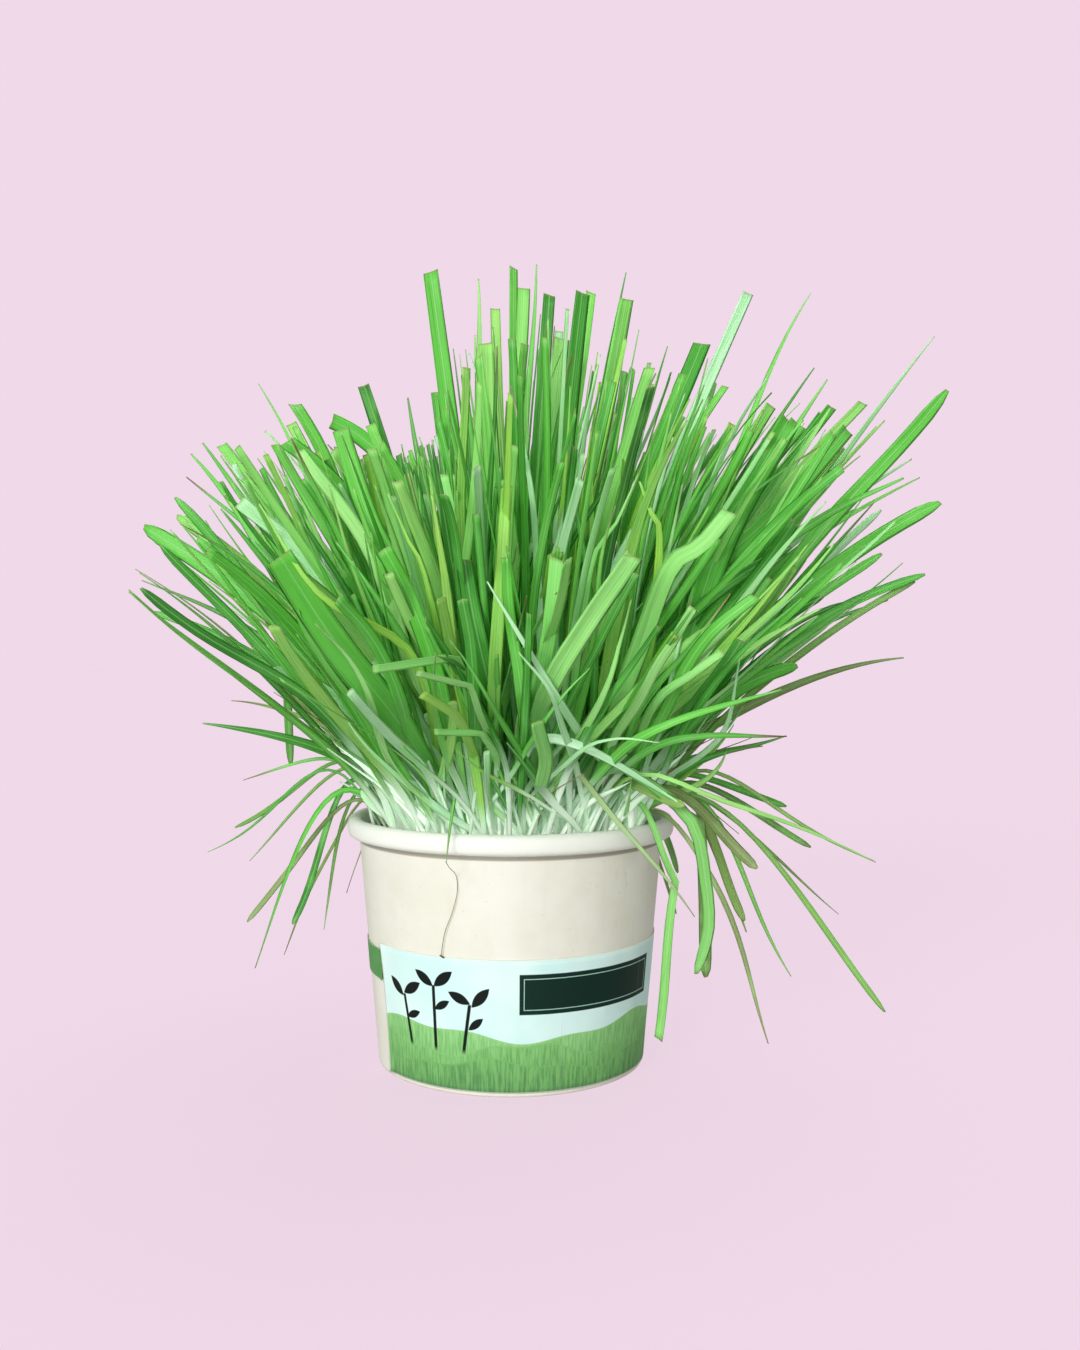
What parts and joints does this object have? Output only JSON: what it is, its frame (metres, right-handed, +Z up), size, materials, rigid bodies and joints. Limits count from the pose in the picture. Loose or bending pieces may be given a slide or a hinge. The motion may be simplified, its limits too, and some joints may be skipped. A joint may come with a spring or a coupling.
{
  "type": "pot-grown wheatgrass in a round paper tub",
  "caption": "Living wheatgrass fanning out of a soil-filled round paper tub with a rolled rim and a paper label; stands on its flat foot.",
  "frame": {"origin": "on the tub's axis, at the height of the surface that its foot stands on", "axes": "+Z up along the tub's axis; -Y is the label's side, which faces the viewer; +X to the viewer's right"},
  "size_m": [0.2445, 0.2079, 0.2431],
  "materials": {
    "tub_board": "satin",
    "soil": "matte",
    "label_paper": "satin",
    "strip_paper": "satin",
    "grass": "satin"
  },
  "bodies": {
    "root": {"tub_wall": "tub_board", "tub_bottom": "tub_board", "soil": "soil", "label": "label_paper", "green_strip": "strip_paper", "grass_middle": "grass", "grass_bunch_0": "grass", "grass_bunch_45": "grass", "grass_bunch_90": "grass", "grass_bunch_135": "grass", "grass_bunch_180": "grass", "grass_bunch_225": "grass", "grass_bunch_270": "grass", "grass_bunch_315": "grass"}
  },
  "joints": []
}
